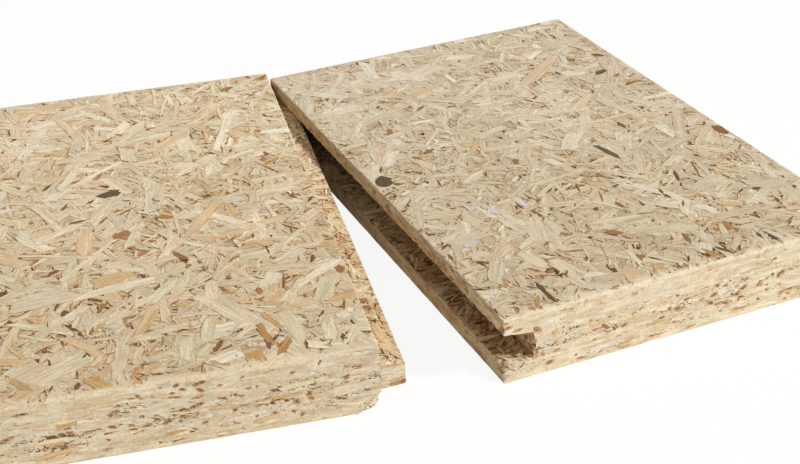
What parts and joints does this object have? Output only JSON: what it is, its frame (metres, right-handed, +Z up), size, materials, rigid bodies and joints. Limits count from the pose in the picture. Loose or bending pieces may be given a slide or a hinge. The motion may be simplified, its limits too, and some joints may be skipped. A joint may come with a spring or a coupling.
{
  "type": "pair of tongue-and-groove particleboard panels",
  "caption": "Flat rectangular cut-offs of coarse-chip particleboard laid side by side, a milled tongue entering a milled groove at one end and the boards fanning apart at the other.",
  "frame": {"origin": "centre of the box around both boards, on the surface that they lie on", "axes": "+Z up through the boards' thickness, +Y along the grooved edge away from the open end of the V, +X across the groove board away from its groove"},
  "size_m": [0.2932, 0.2324, 0.022],
  "materials": {
    "chip_face": "matte",
    "sawn_edge": "matte",
    "milled_edge": "matte"
  },
  "bodies": {
    "root": {"groove_board": "chip_face", "tongue_board": "chip_face"}
  },
  "joints": []
}
